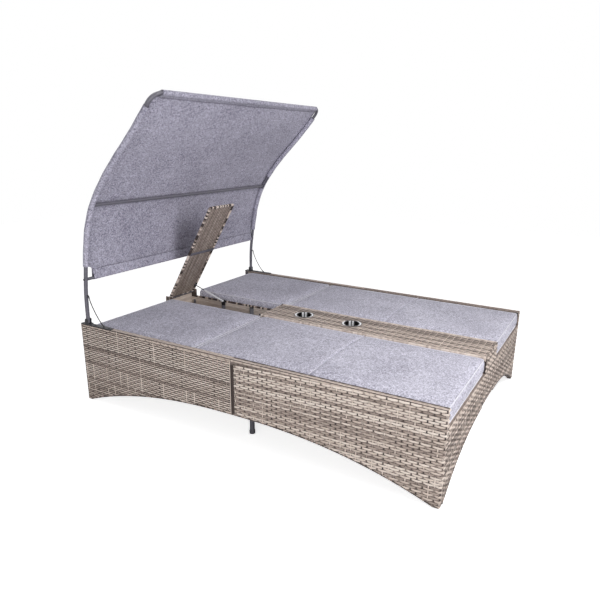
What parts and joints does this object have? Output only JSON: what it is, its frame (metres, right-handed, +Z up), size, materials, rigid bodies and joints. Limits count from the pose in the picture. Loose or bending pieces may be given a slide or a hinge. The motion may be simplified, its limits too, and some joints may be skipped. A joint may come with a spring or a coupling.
{
  "type": "outdoor daybed",
  "caption": "Outdoor daybed for two with a woven arched base, grey cushions, console with cup holders, lidded storage box, adjustable backrests and tilting fabric canopy",
  "frame": {"origin": "on the floor, under the middle of the bed's outline", "axes": "X runs across the bed from the left side to the right side, Y runs along it towards the canopy end, Z is up"},
  "size_m": [1.52, 2, 1.6001],
  "materials": {
    "wicker": "flat synthetic strands woven over stakes, mixed beige, taupe and brown, low sheen",
    "wicker_dark": "the same strands woven lengthwise, seen in shade",
    "deck_board": "plain boards under the cushions",
    "frame_steel": "grey powder coat, satin",
    "canopy_tube": "grey powder coat, satin",
    "black_trim": "black moulded trim and black fittings",
    "cushion_fabric": "blue-grey melange weave",
    "canopy_fabric": "blue-grey melange weave, thin",
    "stainless": "polished stainless cup",
    "strut_steel": "bright strut cylinder",
    "cable_steel": "dark stranded steel cable"
  },
  "bodies": {
    "base": {"side_panel_left_foot": "wicker", "end_panel_left_foot": "wicker", "side_panel_right_foot": "wicker", "end_panel_right_foot": "wicker", "side_panel_left_head": "wicker", "end_panel_left_head": "wicker", "side_panel_right_head": "wicker", "end_panel_right_head": "wicker", "corner_leg_left_foot": "frame_steel", "corner_leg_left_head": "frame_steel", "rail_left_outer": "frame_steel", "rail_left_inner": "frame_steel", "cross_tube_head_left": "frame_steel", "corner_leg_right_foot": "frame_steel", "corner_leg_right_head": "frame_steel", "rail_right_outer": "frame_steel", "rail_right_inner": "frame_steel", "cross_tube_head_right": "frame_steel", "cross_tube_foot": "frame_steel", "cross_tube_middle": "frame_steel", "lid_hinge_rod": "frame_steel", "centre_leg_left": "black_trim", "centre_leg_right": "black_trim", "strut_lower_bracket": "black_trim", "console_body": "wicker", "storage_box": "wicker", "cup_holder_head": "stainless", "cup_holder_foot": "stainless", "seat_deck_left": "deck_board", "backrest_pivot_left_outer": "black_trim", "backrest_pivot_left_inner": "black_trim", "canopy_pin_left": "black_trim", "seat_cushion_left": "cushion_fabric", "canopy_plate_left": "frame_steel", "seat_deck_right": "deck_board", "backrest_pivot_right_outer": "black_trim", "backrest_pivot_right_inner": "black_trim", "canopy_pin_right": "black_trim", "seat_cushion_right": "cushion_fabric", "canopy_plate_right": "frame_steel"},
    "backrest_left": {"backrest_deck_left": "deck_board", "backrest_cushion_left": "cushion_fabric"},
    "backrest_right": {"backrest_deck_right": "deck_board", "backrest_cushion_right": "cushion_fabric"},
    "lid": {"lid_panel": "wicker_dark", "lid_crossbar": "frame_steel", "strut_upper_bracket": "black_trim"},
    "strut_cylinder": {"strut_cylinder": "strut_steel"},
    "strut_rod": {"strut_rod": "frame_steel"},
    "canopy": {"canopy_post_left": "canopy_tube", "canopy_post_right": "canopy_tube", "canopy_arm_left": "canopy_tube", "canopy_arm_right": "canopy_tube", "canopy_top_bar": "canopy_tube", "canopy_mid_bar": "canopy_tube", "canopy_low_bar": "canopy_tube", "canopy_cloth": "canopy_fabric", "stay_cable_left": "cable_steel", "stay_cable_right": "cable_steel"}
  },
  "joints": [
    {"name": "backrest_left_hinge", "type": "hinge", "parent": "base", "child": "backrest_left", "pos_m": [-0.425, 0.265, 0.424], "axis": [1, 0, 0], "range_deg": [0, 50]},
    {"name": "backrest_right_hinge", "type": "hinge", "parent": "base", "child": "backrest_right", "pos_m": [0.425, 0.265, 0.424], "axis": [1, 0, 0], "range_deg": [0, 50]},
    {"name": "lid_hinge", "type": "hinge", "parent": "base", "child": "lid", "pos_m": [0, 0.972, 0.425], "axis": [1, 0, 0], "range_deg": [0, 59.5]},
    {"name": "strut_pivot", "type": "hinge", "parent": "base", "child": "strut_cylinder", "pos_m": [0.091, 0.722, 0.398], "axis": [1, 0, 0], "range_deg": [-12.1, 0.1]},
    {"name": "strut_slide", "type": "slide", "parent": "strut_cylinder", "child": "strut_rod", "axis": [0, 0.9429, 0.333], "range_m": [-0.039, 0.0005]},
    {"name": "canopy_tilt", "type": "hinge", "parent": "base", "child": "canopy", "pos_m": [0, 0.96, 0.462], "axis": [1, 0, 0], "range_deg": [-1.5, 8], "deforming": ["stay_cable_left", "stay_cable_right"]}
  ],
  "couplings": [
    {"joint": "strut_pivot", "follows": "lid_hinge", "ratio": -0.2024},
    {"joint": "strut_slide", "follows": "lid_hinge", "m_per_rad": -0.0375}
  ]
}
